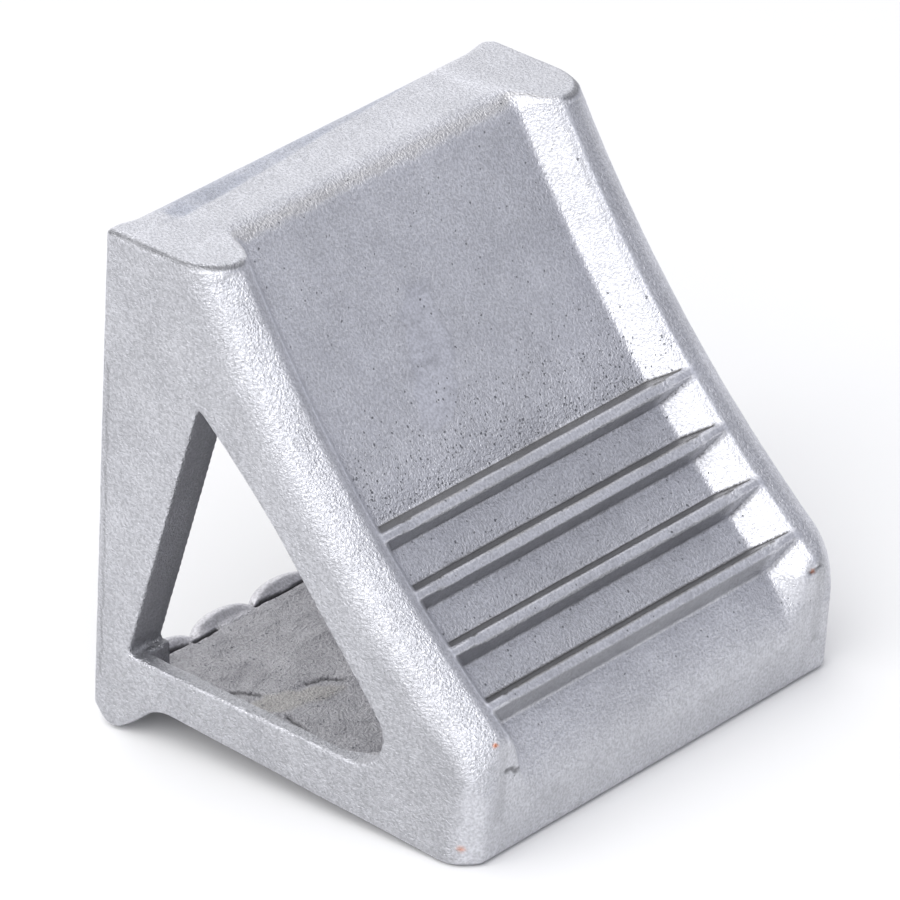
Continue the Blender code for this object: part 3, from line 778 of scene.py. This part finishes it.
FLOOR_REACH = 3.0                       # from the middle to each edge, in metres
FLOOR_DROP = 0.0005                     # keeps the floor clear of the casting's underside
FLOOR_GREY = (0.78, 0.78, 0.78, 1)
SURROUND_BRIGHT = (1.38, 1.38, 1.40, 1)
SURROUND_DIM = (0.55, 0.56, 0.625, 1)
DIM_SIDE = (0.75, 0.62, 0.0)            # direction in which the surround is dimmer
LIGHT_SHIFT = Vector((-0.002, 0.0, -0.0015))
VIEW = (40.106, 27.024)                 # azimuth and elevation of the photograph, in degrees
VIEW_DISTANCE = 3.6
VIEW_SHIFT = Vector((-0.00342, -0.00756, -0.00001))   # of the point looked at, from the middle of the box
LENS, SENSOR = 417.0, 36.0


def box_centre():
    """Middle of the CAD model."""
    low, high = CAD_BOX
    return Vector(((low.x + high.x) / 2, 0.0, (low.z + high.z) / 2))


def direction(azimuth, elevation):
    """Unit vector in degrees; azimuth 0 lies towards -Y and 90 towards +X."""
    a, e = math.radians(azimuth), math.radians(elevation)
    return Vector((math.sin(a) * math.cos(e), -math.cos(a) * math.cos(e), math.sin(e)))


def build_floor():
    """White floor, level with the ground under the chock."""
    mesh = bpy.data.meshes.new("floor")
    corners = [(x * FLOOR_REACH, y * FLOOR_REACH, 0) for x, y in ((-1, -1), (1, -1), (1, 1), (-1, 1))]
    mesh.from_pydata(corners, [], [(0, 1, 2, 3)])
    floor = bpy.data.objects.new("floor", mesh)
    floor.location.z = -FLOOR_DROP
    surface = bpy.data.materials.new("pale_floor")
    surface.use_nodes = True
    shader = surface.node_tree.nodes["Principled BSDF"]
    shader.inputs["Base Color"].default_value = FLOOR_GREY
    shader.inputs["Roughness"].default_value = 0.9
    shader.inputs["Specular IOR Level"].default_value = 0.0
    mesh.materials.append(surface)
    bpy.context.scene.collection.objects.link(floor)


def area_light(name, azimuth, elevation, distance, size, power, target):
    """Soft box aimed at the target."""
    lamp = bpy.data.lights.new(name, "AREA")
    lamp.shape = "RECTANGLE"
    lamp.size, lamp.size_y = size
    lamp.energy = power
    holder = bpy.data.objects.new(name, lamp)
    away = direction(azimuth, elevation)
    holder.location = target + away * distance
    holder.rotation_euler = (-away).to_track_quat("-Z", "Y").to_euler()
    bpy.context.scene.collection.objects.link(holder)


def build_light():
    """Bright studio surround, dimmer towards the far right, with a large soft box beside the view."""
    world = bpy.data.worlds.new("studio")
    bpy.context.scene.world = world
    world.use_nodes = True
    nodes, links = world.node_tree.nodes, world.node_tree.links
    sight = nodes.new("ShaderNodeTexCoord").outputs["Generated"]
    toward = nodes.new("ShaderNodeVectorMath")
    toward.operation = "DOT_PRODUCT"
    toward.inputs[1].default_value = DIM_SIDE
    links.new(sight, toward.inputs[0])
    share = nodes.new("ShaderNodeMapRange")
    share.interpolation_type = "SMOOTHSTEP"
    share.inputs["From Min"].default_value = -0.1
    share.inputs["From Max"].default_value = 0.8
    links.new(toward.outputs["Value"], share.inputs["Value"])
    level = nodes.new("ShaderNodeMix")
    level.data_type = "RGBA"
    sockets = {(socket.name, socket.type): socket for socket in level.inputs}
    sockets["A", "RGBA"].default_value = SURROUND_BRIGHT
    sockets["B", "RGBA"].default_value = SURROUND_DIM
    links.new(share.outputs["Result"], sockets["Factor", "VALUE"])
    colour = next(socket for socket in level.outputs if socket.type == "RGBA")
    links.new(colour, nodes["Background"].inputs["Color"])
    area_light("key", azimuth=12, elevation=46, distance=1.3, size=(1.3, 1.0), power=9,
               target=box_centre() + LIGHT_SHIFT)


def set_view():
    """Plain display transform, so that the white floor stays white."""
    bpy.context.scene.view_settings.view_transform = "Standard"


def build_camera():
    """The photograph's view: upright camera, far off with a long lens."""
    azimuth, elevation = VIEW
    camera = bpy.data.objects.new("camera", bpy.data.cameras.new("camera"))
    camera.data.lens = LENS
    camera.data.sensor_width = SENSOR
    camera.location = box_centre() + VIEW_SHIFT + direction(azimuth, elevation) * VIEW_DISTANCE
    camera.rotation_euler = (math.radians(90 - elevation), 0.0, math.radians(azimuth))
    bpy.context.scene.collection.objects.link(camera)
    bpy.context.scene.camera = camera


build_pieces()
build_floor()
set_view()
build_camera()
build_light()
